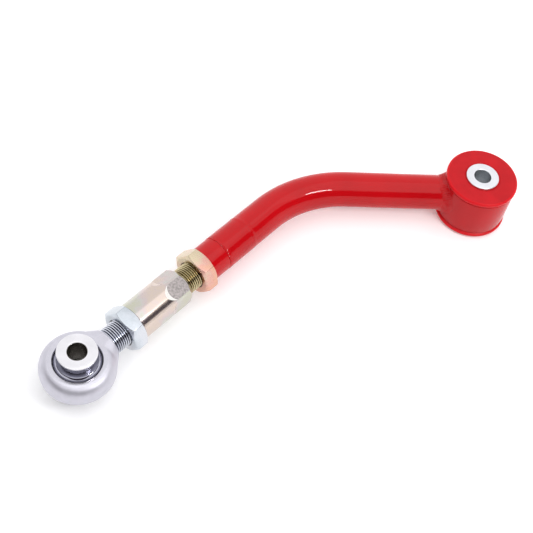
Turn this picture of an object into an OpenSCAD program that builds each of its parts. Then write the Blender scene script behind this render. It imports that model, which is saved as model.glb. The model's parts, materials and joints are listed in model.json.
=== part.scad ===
// Adjustable control arm: a bent tube with a bushed eye at one end and a
// rod end on a double-threaded adjuster at the other. Millimetres.
// The origin is the centre of the eye's bore and +Z runs up along that bore.
// The arm lies flat: the tube leaves the eye along -X and bends towards -Y.

/* [Tube] */
// Outside diameter of the arm tube
tube_od = 25.4; // [24:0.1:27]
// Wall thickness of the arm tube
tube_wall = 2.1; // [1.8:0.1:2.4]
// Distance from the eye's centre to the start of the bend
eye_to_bend = 97; // [80:1:120]
// Centreline radius of the bend
bend_radius = 84; // [70:1:100]
// Angle of the bend in degrees
bend_angle = 45; // [20:1:60]
// Straight tube after the bend, up to the insert's collar
tube_straight = 49.8; // [45:0.1:80]

/* [Threaded insert] */
// Length of the insert's collar, which is as thick as the tube
collar_len = 15.4; // [10:0.1:20]
// Length of the insert's spigot inside the tube
spigot_len = 24.3; // [20:0.1:30]

/* [Threads and nuts] */
// Major diameter of both threads
thread_d = 19.05; // [18.5:0.01:19.1]
// Pitch of both threads, one right-hand and one left-hand
thread_pitch = 1.5875; // [1.5:0.0125:1.6]
// Width across the flats of the jam nuts
nut_af = 28.575; // [27:0.1:30]
// Thickness of the jam nuts
nut_t = 10.7; // [9:0.1:12]

/* [Adjuster] */
// Outside diameter of the adjuster's round body
adjuster_d = 26.6; // [25.5:0.1:28]
// Width across the adjuster's six wrench flats
adjuster_af = 23.8; // [23.5:0.1:24.5]
// Length of the adjuster's body without its stud
adjuster_len = 44; // [42:0.5:50]
// Length of the wrench flats, from the stud's end of the body
flats_len = 17; // [14:0.5:20]
// Stud thread that shows between the adjuster's body and the tube's jam nut
stud_gap = 10.6; // [10:0.1:14]
// Stud thread held in the tube's insert
stud_hold = 25; // [20:0.5:28]

/* [Rod end] */
// Diameter of the rod end's head
head_d = 49.2; // [48:0.1:51]
// Width of the rod end's head along its bore
head_w = 19; // [18:0.1:20]
// Distance from the ball's centre to the end of the neck
neck_len = 25.5; // [25:0.1:28]
// Shank thread that shows between the neck and the jam nut
shank_gap = 10.8; // [10.2:0.1:14]
// Shank thread held in the adjuster
shank_hold = 25; // [20:0.5:26]
// Diameter of the ball
ball_d = 34.92; // [34:0.02:35.2]
// Width of the ball between its flat faces
ball_w = 22.2; // [21.6:0.1:23]
// Bore of the ball
ball_bore_d = 19.05; // [18.5:0.05:19.5]

/* [Spacers] */
// Length across both spacers, face to face
spacer_span = 40; // [39:0.5:42]
// Outside diameter of the spacers' end faces
spacer_d = 25.8; // [25:0.1:26.5]
// Diameter of the spacers' cones where they seat on the ball
spacer_seat_d = 21.4; // [20.5:0.1:22]

/* [Bushed eye] */
// Bolt hole through the inner sleeve and through the spacers
bolt_hole_d = 12.4; // [12.2:0.1:13]
// Outside diameter of the eye's shell
shell_od = 50.8; // [49:0.1:51.5]
// Wall thickness of the eye's shell
shell_wall = 3.2; // [2.5:0.1:4]
// Length of the eye's shell
shell_len = 30.5; // [29:0.5:32]
// Diameter of the bushing flanges
flange_d = 52; // [51.8:0.1:54]
// Thickness of the bushing flanges
flange_t = 3.8; // [3:0.1:4.2]
// Outside diameter of the inner sleeve
sleeve_od = 23.8; // [22:0.1:25]
// Length of the inner sleeve
sleeve_len = 40; // [39:0.5:42]

/* [Hidden] */
$fn = 96;

tube_r = tube_od / 2;
tube_ir = tube_r - tube_wall;
shell_r = shell_od / 2;
shell_ir = shell_r - shell_wall;
sleeve_r = sleeve_od / 2;
bolt_r = bolt_hole_d / 2;
thread_r = thread_d / 2;
thread_depth = 0.6134 * thread_pitch;
ball_r = ball_d / 2;
head_r = head_d / 2;

run_gap = 0.05;        // radial clearance of every turning fit
face_gap = 0.03;       // gap between end faces that turn on each other
half_gap = 0.5;        // each bushing and spacer half stops this far from the middle
weld_groove = 1.2;     // depth of the groove that the insert's weld fills
weld_leg = 4.5;        // reach of the fillet weld along the tube
weld_rise = 3.2;       // height of the fillet weld over the tube
liner_t = 0.55;        // thickness of the moulded liner around the ball
edge = 1;              // rounding of the bushing flanges
chamfer = 0.5;         // small edge break on turned parts
lead_in = 0.8;         // depth of the countersinks at the mouths of threaded holes
nut_turn = 50;         // turn of the nuts' corners about the adjuster's line
flats_turn = 2;        // turn of the wrench flats about the adjuster's line
mill_r = 8;            // radius of the cutter that leaves the wrench flats' ends

// stations along the adjuster's line, from the end of the bend outwards
tube_end = tube_straight;
collar_end = tube_end + collar_len;
stud_start = collar_end + nut_t + stud_gap;
adjuster_end = stud_start + adjuster_len;
neck_end = adjuster_end + nut_t + shank_gap;
ball_at = neck_end + neck_len;

// end of the bend, and the rod end's centre
bend_end = [-eye_to_bend - bend_radius * sin(bend_angle),
            -bend_radius * (1 - cos(bend_angle)), 0];
rod_centre = bend_end - ball_at * [cos(bend_angle), sin(bend_angle), 0];

// children stand around the bend's centre, with +X to the middle of the tube at that angle
module at_bend(angle) {
    translate([-eye_to_bend, -bend_radius, 0]) rotate([0, 0, 90 + angle]) children();
}

// children are drawn along +Z and land on the adjuster's line at the given station
module on_line(station) {
    at_bend(bend_angle) translate([bend_radius, 0, 0]) rotate([-90, 0, 0])
        translate([0, 0, station]) children();
}

// children are drawn around the rod end's bore, with the neck towards +X
module at_rod_end() {
    translate(rod_centre) rotate([0, 0, bend_angle]) children();
}

module ring(outer_r, inner_r, height) {
    linear_extrude(height) difference() { circle(outer_r); circle(inner_r); }
}

// countersink at the mouth of a threaded hole, from z = 0 inwards to z = -lead_in
module countersink() {
    translate([0, 0, -lead_in]) cylinder(r1 = thread_r, r2 = thread_r + lead_in + 0.1, h = lead_in + 0.01);
}

// thread of ridges on a solid core, from z = 0 to z = length, with a pointed start
module thread(length) {
    turns = floor((length - 2 * lead_in) / thread_pitch);
    root_r = thread_r - thread_depth;
    rotate_extrude() polygon(concat(
        [[0, 0], [root_r, 0]],
        [for (i = [0 : turns - 1]) each [
            [root_r, (i + 0.1) * thread_pitch], [thread_r, (i + 0.5) * thread_pitch],
            [thread_r, (i + 0.62) * thread_pitch], [root_r, (i + 1.02) * thread_pitch]]],
        [[root_r, length - lead_in], [root_r - lead_in, length], [0, length]]));
}

module jam_nut() {
    face_r = nut_af / 2 * 0.96;
    corner_r = nut_af / 2 / cos(30);
    bevel = (corner_r - face_r) * tan(30);
    difference() {
        intersection() {
            rotate([0, 0, nut_turn]) cylinder(r = corner_r, h = nut_t, $fn = 6);
            rotate_extrude() polygon([[0, 0], [face_r, 0], [corner_r, bevel],
                [corner_r, nut_t - bevel], [face_r, nut_t], [0, nut_t]]);
        }
        translate([0, 0, -1]) cylinder(r = thread_r + run_gap, h = nut_t + 2);
        translate([0, 0, nut_t]) countersink();
        mirror([0, 0, 1]) countersink();
    }
}

// the tube's run as a solid bar of the given radius
module tube_run(radius) {
    translate([-eye_to_bend, 0, 0]) rotate([0, 90, 0]) cylinder(r = radius, h = eye_to_bend);
    at_bend(0) rotate_extrude(angle = bend_angle) translate([bend_radius, 0]) circle(radius);
    on_line(0) cylinder(r = radius, h = tube_straight);
}

module arm_tube() {
    color("crimson") difference() {
        tube_run(tube_r);
        tube_run(tube_ir);
        on_line(tube_end) weld_ring(0);
        translate([0, 0, -shell_len]) cylinder(r = shell_r, h = 2 * shell_len);
    }
}

// V-shaped ring that fills the groove between the tube and the insert's collar
module weld_ring(sunk) {
    rotate_extrude() polygon([[tube_r - weld_groove, 0],
        [tube_r - sunk, -weld_groove + sunk], [tube_r - sunk, weld_groove - sunk]]);
}

module tube_insert() {
    color("crimson") on_line(0) difference() {
        union() {
            translate([0, 0, tube_end - spigot_len]) cylinder(r = tube_ir, h = spigot_len + 1);
            translate([0, 0, tube_end]) cylinder(r = tube_r, h = collar_len);
        }
        translate([0, 0, tube_end - spigot_len - 1])
            cylinder(r = thread_r + run_gap, h = spigot_len + collar_len + 2);
        translate([0, 0, collar_end]) countersink();
        translate([0, 0, tube_end]) weld_ring(0);
    }
}

module insert_weld() {
    color("firebrick") on_line(tube_end) weld_ring(0.15);
}

module eye_shell() {
    color("crimson") translate([0, 0, -shell_len / 2]) ring(shell_r, shell_ir, shell_len);
}

// fillet weld around the tube's saddle joint with the shell
module eye_weld() {
    saddle = shell_r - sqrt(pow(shell_r, 2) - pow(tube_r, 2));
    color("firebrick") difference() {
        rotate([0, -90, 0]) translate([0, 0, shell_r - saddle])
            cylinder(r1 = tube_r + weld_rise + saddle / 3, r2 = tube_r, h = saddle + weld_leg);
        rotate([0, -90, 0]) cylinder(r = tube_r, h = eye_to_bend);
        translate([0, 0, -shell_len]) cylinder(r = shell_r, h = 2 * shell_len);
    }
}

module bushing_half() {
    shoulder = shell_len / 2;
    top = shoulder + flange_t;
    bore_r = sleeve_r + run_gap;
    rotate_extrude() union() {
        polygon([[bore_r, half_gap], [shell_ir, half_gap], [shell_ir, shoulder],
            [flange_d / 2, shoulder], [flange_d / 2, top - edge],
            [flange_d / 2 - edge, top], [bore_r, top]]);
        translate([flange_d / 2 - edge, top - edge]) circle(edge);
    }
}

module upper_bushing() {
    color("red") bushing_half();
}

module lower_bushing() {
    color("red") mirror([0, 0, 1]) bushing_half();
}

module inner_sleeve() {
    half = sleeve_len / 2;
    color("silver") rotate_extrude() polygon([
        [bolt_r, -half + chamfer], [bolt_r + chamfer, -half], [sleeve_r - chamfer, -half],
        [sleeve_r, -half + chamfer], [sleeve_r, half - chamfer], [sleeve_r - chamfer, half],
        [bolt_r + chamfer, half], [bolt_r, half - chamfer]]);
}

module tube_jam_nut() {
    color("burlywood") on_line(collar_end + face_gap) jam_nut();
}

module wrench_flat() {
    translate([adjuster_af / 2, -adjuster_d / 2, -1])
        cube([adjuster_d, adjuster_d, flats_len + 1 - mill_r]);
    translate([adjuster_af / 2, 0, flats_len - mill_r]) rotate([0, 90, 0])
        cylinder(r = mill_r, h = adjuster_d);
}

// round body with six wrench flats at its stud end, bored for the rod end's shank
module adjuster() {
    body_r = adjuster_d / 2;
    end_r = adjuster_af / 2 - 1.1;
    spare = 6 * thread_pitch + 2;
    bore_len = shank_hold + spare;
    color("wheat") on_line(stud_start) difference() {
        union() {
            rotate_extrude() polygon([[0, 0], [end_r, 0], [body_r, body_r - end_r],
                [body_r, adjuster_len - chamfer], [body_r - chamfer, adjuster_len],
                [0, adjuster_len]]);
            mirror([0, 0, 1]) thread(stud_gap + nut_t + stud_hold);
        }
        for (i = [0 : 5]) rotate([0, 0, flats_turn + 60 * i]) wrench_flat();
        translate([0, 0, adjuster_len - bore_len])
            cylinder(r = thread_r + run_gap, h = bore_len + 1);
        translate([0, 0, adjuster_len]) countersink();
    }
}

module rod_end_jam_nut() {
    color("lightsteelblue") on_line(adjuster_end + face_gap) jam_nut();
}

// barrel-shaped head with a tapered neck and a threaded shank
module rod_end_body() {
    half = head_w / 2;
    face_r = 21.4;
    barrel_r = (pow(half, 2) + pow(head_r - face_r, 2)) / (2 * (head_r - face_r));
    socket_r = ball_r + liner_t + 2 * run_gap;
    mouth_r = 16.3;
    mouth_bevel = 0.8;
    shank_len = shank_gap + nut_t + shank_hold;
    neck_start = 12;
    neck_r = 17;
    color("gainsboro") at_rod_end() difference() {
        union() {
            rotate_extrude() intersection() {
                translate([0, -half]) square([head_r, head_w]);
                translate([head_r - barrel_r, 0]) circle(barrel_r);
            }
            intersection() {
                rotate([0, 90, 0]) translate([0, 0, neck_start])
                    cylinder(r1 = neck_r, r2 = thread_r + chamfer, h = neck_len - neck_start);
                translate([0, -head_r, -half]) cube([neck_len, head_d, head_w]);
            }
            rotate([0, 90, 0]) translate([0, 0, neck_len]) thread(shank_len);
        }
        sphere(socket_r);
        for (side = [0, 1]) mirror([0, 0, side]) translate([0, 0, half - mouth_bevel])
            cylinder(r1 = mouth_r - mouth_bevel, r2 = mouth_r + 0.01, h = mouth_bevel + 0.01);
    }
}

// moulded liner between the ball and the head
module race_liner() {
    inset = 0.9;
    half = head_w / 2 - inset;
    color("dimgray") at_rod_end() difference() {
        sphere(ball_r + liner_t + run_gap);
        sphere(ball_r + run_gap);
        for (side = [0, 1]) mirror([0, 0, side]) translate([0, 0, half])
            cylinder(r = ball_d, h = ball_d);
    }
}

module ball() {
    color("white") at_rod_end() difference() {
        intersection() {
            sphere(ball_r);
            translate([0, 0, -ball_w / 2]) cylinder(r = ball_d, h = ball_w);
        }
        translate([0, 0, -ball_w]) cylinder(r = ball_bore_d / 2, h = 2 * ball_w);
    }
}

// cone that seats on the ball's face, with a nose inside the ball's bore
module spacer() {
    top = spacer_span / 2;
    seat = ball_w / 2 + face_gap;
    nose_r = ball_bore_d / 2 - run_gap;
    rim = 1;
    rotate_extrude() polygon([
        [bolt_r, half_gap], [nose_r - chamfer, half_gap], [nose_r, half_gap + chamfer],
        [nose_r, seat], [spacer_seat_d / 2, seat], [spacer_d / 2, top - rim],
        [spacer_d / 2, top - chamfer], [spacer_d / 2 - chamfer, top],
        [bolt_r + chamfer, top], [bolt_r, top - chamfer]]);
}

module upper_spacer() {
    color("whitesmoke") at_rod_end() spacer();
}

module lower_spacer() {
    color("whitesmoke") at_rod_end() mirror([0, 0, 1]) spacer();
}

arm_tube();
tube_insert();
insert_weld();
eye_shell();
eye_weld();
upper_bushing();
lower_bushing();
inner_sleeve();
tube_jam_nut();
adjuster();
rod_end_jam_nut();
rod_end_body();
race_liner();
ball();
upper_spacer();
lower_spacer();
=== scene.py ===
"""The looks of an adjustable control arm, built around its packed frame."""

import json
import math

import bmesh
import bpy
from bpy.props import FloatProperty, FloatVectorProperty, PointerProperty
from bpy.types import Operator, Panel, PropertyGroup
from mathutils import Matrix, Vector, noise


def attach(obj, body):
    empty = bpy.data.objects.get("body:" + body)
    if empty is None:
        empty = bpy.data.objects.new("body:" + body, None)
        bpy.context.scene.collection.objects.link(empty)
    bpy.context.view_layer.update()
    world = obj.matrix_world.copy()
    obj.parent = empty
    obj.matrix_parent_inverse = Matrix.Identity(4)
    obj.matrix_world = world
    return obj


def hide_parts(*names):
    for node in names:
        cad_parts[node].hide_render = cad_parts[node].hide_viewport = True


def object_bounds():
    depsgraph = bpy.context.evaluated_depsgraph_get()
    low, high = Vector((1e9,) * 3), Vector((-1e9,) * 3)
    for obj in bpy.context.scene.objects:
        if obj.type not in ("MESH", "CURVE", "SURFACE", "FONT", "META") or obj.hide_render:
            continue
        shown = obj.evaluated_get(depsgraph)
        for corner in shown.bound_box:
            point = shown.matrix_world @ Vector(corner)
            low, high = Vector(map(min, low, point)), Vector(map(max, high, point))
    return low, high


bl_info = {
    "name": "Adjustable control arm",
    "version": (1, 0, 0),
    "blender": (4, 5, 0),
    "location": "View3D > Sidebar > Control Arm",
    "description": "Builds the pieces, finishes and studio of an adjustable control arm",
    "category": "Object",
}

MM = 0.001
SHARP_EDGE = math.radians(38)

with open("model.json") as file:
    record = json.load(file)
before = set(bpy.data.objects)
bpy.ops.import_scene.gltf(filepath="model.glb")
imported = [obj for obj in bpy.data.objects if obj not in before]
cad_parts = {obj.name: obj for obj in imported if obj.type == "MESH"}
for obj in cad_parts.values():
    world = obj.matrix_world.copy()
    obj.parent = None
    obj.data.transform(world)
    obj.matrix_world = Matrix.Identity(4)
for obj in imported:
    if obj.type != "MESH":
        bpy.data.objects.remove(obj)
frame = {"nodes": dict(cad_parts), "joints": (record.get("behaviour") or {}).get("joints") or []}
CAD_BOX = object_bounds()
JOINTS = {joint["name"]: joint for joint in frame["joints"]}
UP = Vector((0, 0, 1))
OUTWARD = Vector(JOINTS["rod_end_advance"]["axis"]).normalized()
EYE_CENTRE = Vector()
ROD_CENTRE = Vector(JOINTS["spacer_turn"]["pos_m"])
ADJUSTER_START = Vector(JOINTS["adjuster_turn"]["pos_m"])
BEND_ANGLE = OUTWARD.angle(Vector((-1, 0, 0)))
SIDE = UP.cross(OUTWARD)
FLIP = Matrix.Rotation(math.pi, 4, "X")


def reach(node, point, axis):
    """The lowest and highest place of a node along an axis, counted from a point."""
    found = [(v.co - point).dot(axis) for v in frame["nodes"][node].data.vertices]
    return min(found), max(found)


def girth(node, point, axis):
    """The smallest and largest distance of a node's points from an axis through a point."""
    arms = [v.co - point for v in frame["nodes"][node].data.vertices]
    found = [(arm - arm.dot(axis) * axis).length for arm in arms]
    return min(found), max(found)


def stations(node):
    """Where a node starts and ends on the adjuster's line, which reads 0 at the rod end's centre."""
    return reach(node, ROD_CENTRE, OUTWARD)


def on_line(station):
    """A place on the adjuster's line: +Z runs outwards, +X is level and +Y points up."""
    turn = Matrix((SIDE, OUTWARD.cross(SIDE), OUTWARD)).transposed().to_4x4()
    return Matrix.Translation(ROD_CENTRE + OUTWARD * station) @ turn


def at_rod_end():
    """The rod end's centre: +X runs along the shank and +Z along the ball's bore."""
    return Matrix.Translation(ROD_CENTRE) @ Matrix.Rotation(BEND_ANGLE, 4, "Z")


# ---------------------------------------------------------------- mesh tools


def new_piece(name, points, faces, place=None):
    """A mesh object in the scene, with its points moved to their place."""
    mesh = bpy.data.meshes.new(name)
    mesh.from_pydata(points, [], faces)
    if place is not None:
        mesh.transform(place)
    piece = bpy.data.objects.new(name, mesh)
    bpy.context.scene.collection.objects.link(piece)
    tidy(piece)
    return piece


def tidy(piece):
    """Turns the faces outwards, shades them smooth and marks the sharp edges."""
    work = bmesh.new()
    work.from_mesh(piece.data)
    bmesh.ops.remove_doubles(work, verts=work.verts, dist=1e-7)
    bmesh.ops.dissolve_degenerate(work, edges=work.edges, dist=1e-7)
    bmesh.ops.recalc_face_normals(work, faces=work.faces)
    for face in work.faces:
        face.smooth = True
    for side in work.edges:
        side.smooth = len(side.link_faces) == 2 and side.calc_face_angle(0) < SHARP_EDGE
    work.to_mesh(piece.data)
    work.free()


def set_modifiers(piece):
    """Turns a piece's modifiers into mesh."""
    bpy.context.view_layer.update()
    graph = bpy.context.evaluated_depsgraph_get()
    made = bpy.data.meshes.new_from_object(piece.evaluated_get(graph))
    piece.modifiers.clear()
    old, piece.data = piece.data, made
    bpy.data.meshes.remove(old)


def cut(piece, cutters, operation="DIFFERENCE"):
    """Cuts a piece with other objects, which are then gone."""
    for cutter in cutters:
        step = piece.modifiers.new("cut", "BOOLEAN")
        step.operation = operation
        step.solver = "EXACT"
        step.object = cutter
    set_modifiers(piece)
    for cutter in cutters:
        bpy.data.objects.remove(cutter)


def soften_edges(piece, width, angle):
    """Rounds the edges that are sharper than an angle, as on a tumbled part."""
    bevel = piece.modifiers.new("edges", "BEVEL")
    bevel.width = width
    bevel.segments = 2
    bevel.limit_method = "ANGLE"
    bevel.angle_limit = angle
    weighted = piece.modifiers.new("normals", "WEIGHTED_NORMAL")
    weighted.keep_sharp = True
    set_modifiers(piece)


def rounded(corners, steps=4):
    """The closed outline through corners of (radius, height, rounding), with arcs where they are rounded."""
    outline = []
    for i, (x, y, rounding) in enumerate(corners):
        if rounding <= 0:
            outline.append((x, y))
            continue
        here = Vector((x, y))
        before = (Vector(corners[i - 1][:2]) - here).normalized()
        after = (Vector(corners[(i + 1) % len(corners)][:2]) - here).normalized()
        half = before.angle(after) / 2
        run = rounding / math.tan(half)
        centre = here + (before + after).normalized() * (rounding / math.sin(half))
        first = here + before * run - centre
        last = here + after * run - centre
        sweep = first.angle_signed(last)
        for k in range(steps + 1):
            arm = Matrix.Rotation(-sweep * k / steps, 2) @ first
            outline.append(tuple(centre + arm))
    return outline


def turned(name, outline_at, place, steps=192):
    """A closed ring swept around +Z. outline_at gives the (radius, height) outline at each angle."""
    points, faces = [], []
    for i in range(steps):
        angle = math.tau * i / steps
        outline = outline_at(angle)
        points += [(r * math.cos(angle), r * math.sin(angle), z) for r, z in outline]
    count = len(outline)
    for i in range(steps):
        here, there = i * count, (i + 1) % steps * count
        for j in range(count):
            k = (j + 1) % count
            faces.append((here + j, there + j, there + k, here + k))
    return new_piece(name, points, faces, place)


def lathed(name, corners, place, steps=192, arc=4):
    """A turned ring with the same rounded outline all the way round."""
    outline = rounded(corners, arc)
    return turned(name, lambda angle: outline, place, steps)


def solid_lathed(name, outline, place, steps=96):
    """A turned solid whose outline starts and ends on the axis."""
    points = [(0, 0, outline[0][1])]
    inner = outline[1:-1]
    for i in range(steps):
        angle = math.tau * i / steps
        points += [(r * math.cos(angle), r * math.sin(angle), z) for r, z in inner]
    points.append((0, 0, outline[-1][1]))
    count, last, faces = len(inner), len(points) - 1, []
    for i in range(steps):
        here, there = 1 + i * count, 1 + (i + 1) % steps * count
        faces.append((0, there, here))
        faces += [(here + j, there + j, there + j + 1, here + j + 1) for j in range(count - 1)]
        faces.append((here + count - 1, there + count - 1, last))
    return new_piece(name, points, faces, place)


def swept(name, rings, closed=False):
    """A skin over rings of points, with a flat cap on both ends unless it closes on itself."""
    count = len(rings[0])
    points = [p for ring in rings for p in ring]
    faces = []
    for i in range(len(rings) - (0 if closed else 1)):
        here, there = i * count, (i + 1) % len(rings) * count
        for j in range(count):
            k = (j + 1) % count
            faces.append((here + j, here + k, there + k, there + j))
    if not closed:
        faces.append(tuple(range(count)))
        faces.append(tuple(range(len(points) - count, len(points))))
    return new_piece(name, points, faces)


def squared_oval(wide, tall, power, steps=96):
    """A closed outline between an ellipse, at a power of 2, and a rectangle."""
    outline = []
    for k in range(steps):
        x = math.cos(math.tau * k / steps)
        y = math.sin(math.tau * k / steps)
        outline.append((wide * math.copysign(abs(x) ** (2 / power), x),
                        tall * math.copysign(abs(y) ** (2 / power), y)))
    return outline


def prism(name, bottom, top, low, high, place):
    """A block between two flat outlines, one at each height."""
    count = len(bottom)
    points = [(x, y, low) for x, y in bottom] + [(x, y, high) for x, y in top]
    faces = [tuple(range(count)), tuple(range(count, 2 * count))]
    faces += [(j, (j + 1) % count, count + (j + 1) % count, count + j) for j in range(count)]
    return new_piece(name, points, faces, place)


def threaded(name, length, major, sizes, place, hand=1):
    """A closed screw thread along +Z: one ridge profile swept around a helix, of hand 1 or -1."""
    steps = 96
    pitch = sizes.pitch
    crest = 0.125 * pitch
    flank = 0.36 * pitch
    soft = 0.035 * pitch
    root = major - sizes.thread_depth
    shoulder = major - 0.12 * sizes.thread_depth
    ridge = [(0, root), (flank - soft, shoulder), (flank + soft, major), (flank + crest, major),
             (flank + crest + 2 * soft, shoulder), (2 * flank + crest + soft, root)]
    turns = int(length / pitch)
    rows = [(turn * pitch + z, r) for turn in range(turns) for z, r in ridge]
    per_turn, last = len(ridge), len(rows) - 1
    points, faces = [], []
    for z, r in rows:
        for i in range(steps):
            angle = math.tau * i / steps
            points.append((r * math.cos(angle), hand * r * math.sin(angle), z + pitch * i / steps))
    for row in range(last):
        here = row * steps
        faces += [(here + i, here + i + 1, here + i + 1 + steps, here + i + steps) for i in range(steps - 1)]
        if row + per_turn < last:
            seam = (row + per_turn) * steps
            faces.append((here + steps - 1, seam, seam + steps, here + 2 * steps - 1))
    first_loop = list(range(steps)) + [row * steps for row in range(per_turn, 0, -1)]
    last_loop = list(range(last * steps, (last + 1) * steps))
    last_loop += [row * steps + steps - 1 for row in range(last - 1, last - per_turn - 1, -1)]
    for loop, height in ((first_loop, pitch / 2), (last_loop, (turns - 0.5) * pitch)):
        tip = len(points)
        points.append((0, 0, height))
        faces += [(loop[j], loop[(j + 1) % len(loop)], tip) for j in range(len(loop))]
    return new_piece(name, points, faces, place)


def dress(piece, body, slot, finish_name, *nodes):
    """Hands a piece to its body, its finish and the frame's nodes that it stands for."""
    piece.data.materials.append(finish(finish_name))
    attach(piece, body)
    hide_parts(*nodes)


# ---------------------------------------------------------------- finishes


YELLOW_TONES = [(0.6, 0.52, 0.36), (0.64, 0.46, 0.36), (0.68, 0.38, 0.32), (0.7, 0.4, 0.28)]
RAINBOW_TONES = [(0.53, 0.53, 0.42), (0.55, 0.53, 0.5), (0.59, 0.5, 0.49), (0.62, 0.52, 0.45)]
CLEAR_TONES = [(0.5, 0.54, 0.58), (0.6, 0.63, 0.68), (0.65, 0.66, 0.7)]
# painted shade, darkening the zinc parts' bores and countersinks
BORE_PAINTED_SHADE = (0.1, 0.08, 0.06)
# painted shade in the thread grooves (the root colours); the crest colours are the metal's own
GOLD_ROOT_PAINTED_SHADE, GOLD_CREST = (0.1, 0.07, 0.02), (0.72, 0.62, 0.38)
STEEL_ROOT_PAINTED_SHADE, STEEL_CREST = (0.07, 0.08, 0.12), (0.8, 0.82, 0.88)
# painted light brightening the sleeve's bore, and painted shade darkening the spacers' bores
SLEEVE_HOLE_PAINTED_LIGHT = (0.9, 0.92, 0.95)
SPACER_HOLE_PAINTED_SHADE = (0.4, 0.38, 0.36)


class Num:
    """A number in a finish. Arithmetic on it adds the Math nodes."""

    def __init__(self, finish, socket):
        self.finish = finish
        self.socket = socket

    def math(self, operation, *values):
        """The result of one Math node."""
        settings = {"operation": operation}
        return Num(self.finish, self.finish.node("ShaderNodeMath", settings, dict(enumerate(values))))

    def sine(self):
        """The sine of an angle in radians."""
        return self.math("SINE", self)

    def __add__(self, other):
        return self.math("ADD", self, other)

    def __radd__(self, other):
        return self.math("ADD", other, self)

    def __sub__(self, other):
        return self.math("SUBTRACT", self, other)

    def __rsub__(self, other):
        return self.math("SUBTRACT", other, self)

    def __mul__(self, other):
        return self.math("MULTIPLY", self, other)

    def __rmul__(self, other):
        return self.math("MULTIPLY", other, self)

    def __pow__(self, other):
        return self.math("POWER", self, other)

    def __rpow__(self, other):
        return self.math("POWER", other, self)


class Finish:
    """A material under construction around one Principled shader."""

    def __init__(self, name, **constants):
        self.material = bpy.data.materials.new(name)
        self.material.use_nodes = True
        self.tree = self.material.node_tree
        self.shader = self.tree.nodes["Principled BSDF"]
        for key, value in constants.items():
            self.shader.inputs[key.replace("_", " ").title().replace("Ior", "IOR")].default_value = value
        self.place = self.node("ShaderNodeTexCoord", {}, {}, "Object")

    def node(self, kind, settings, inputs, output=0):
        """Adds a node, sets it up, feeds its sockets and gives one of its outputs."""
        made = self.tree.nodes.new(kind)
        for key, value in settings.items():
            if key == "stops":
                self.set_stops(made.color_ramp, value)
            else:
                setattr(made, key, value)
        for key, value in inputs.items():
            if isinstance(value, Num):
                value = value.socket
            if isinstance(value, bpy.types.NodeSocket):
                self.tree.links.new(value, made.inputs[key])
            else:
                made.inputs[key].default_value = value
        return made.outputs[output]

    @staticmethod
    def set_stops(ramp, stops):
        """Gives a colour ramp its stops of (place, colour)."""
        while len(ramp.elements) < len(stops):
            ramp.elements.new(1)
        for element, (place, colour) in zip(ramp.elements, stops):
            element.position = place
            element.color = (*colour, 1)

    def feed(self, **sockets):
        """Feeds what varies over the surface to the shader's own sockets."""
        for key, value in sockets.items():
            value = value.socket if isinstance(value, Num) else value
            self.tree.links.new(value, self.shader.inputs[key.replace("_", " ").title()])
        return self

    def noise(self, size, detail):
        """Smooth random values from 0 to 1 whose blotches are about size metres across."""
        sockets = {"Vector": self.place, "Scale": 1 / size, "Detail": detail}
        return Num(self, self.node("ShaderNodeTexNoise", {}, sockets))

    def grooves(self, across, spacing, waver):
        """A wave from -1 to 1 along a length, with one groove each spacing metres, pushed aside by waver."""
        return (across * (math.tau / spacing) + waver).sine()

    def along(self, point, axis):
        """How far a place is along an axis through a point."""
        arm = self.node("ShaderNodeVectorMath", {"operation": "SUBTRACT"}, {0: self.place, 1: point})
        made = self.node("ShaderNodeVectorMath", {"operation": "DOT_PRODUCT"}, {0: arm, 1: axis}, "Value")
        return Num(self, made)

    def around(self, point, axis, cross):
        """The distance from an axis through a point, and the angle about it."""
        x = self.along(point, cross)
        y = self.along(point, axis.cross(cross))
        radius = (x * x + y * y) ** 0.5
        return radius, x.math("ARCTAN2", y, x)

    def ramp(self, factor, stops):
        """A colour from a colour ramp's stops of (place, colour)."""
        return self.node("ShaderNodeValToRGB", {"stops": stops}, {"Fac": factor})

    def steer(self, factor, low, high, to_low=0.0, to_high=1.0):
        """Moves a number's range to another one, kept between the new ends."""
        sockets = {"Value": factor, "From Min": low, "From Max": high, "To Min": to_low, "To Max": to_high}
        return Num(self, self.node("ShaderNodeMapRange", {"clamp": True}, sockets))

    def mix(self, factor, first, second):
        """A colour between two colours."""
        ends = [end if isinstance(end, bpy.types.NodeSocket) else (*end, 1) for end in (first, second)]
        return self.node("ShaderNodeMix", {"data_type": "RGBA"}, {0: factor, 6: ends[0], 7: ends[1]}, 2)

    def shades(self, factor, tint, dark, light):
        """A colour between a darker and a lighter shade of a tint."""
        return self.mix(factor, [part * dark for part in tint], [part * light for part in tint])

    def bump(self, height, depth, strength):
        """A normal from a height map whose full range is depth metres."""
        sockets = {"Height": height, "Strength": strength, "Distance": depth}
        return self.node("ShaderNodeBump", {}, sockets)


def powder_coat(look):
    """Glossy powder coat with a slight orange peel and a few bright specks."""
    made = Finish("powder coat", specular_ior_level=0.0, coat_weight=0.8, coat_roughness=0.025, coat_ior=1.4)
    tone = made.noise(0.03, 3)
    flow = made.noise(0.0017, 2)
    specks = made.noise(0.0011, 1)
    red = look.coat_colour
    body = made.shades(made.steer(tone, 0.35, 0.65), red, 0.94, 1.05)
    speck_colour = [part * 1.5 for part in red]
    made.feed(base_color=made.mix(made.steer(specks, 0.74, 0.8, 0, 0.35), body, speck_colour),
              roughness=made.steer(tone, 0.3, 0.7, 0.36, 0.44),
              normal=made.bump(flow, 0.00002, 0.3))
    return made.material


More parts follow.
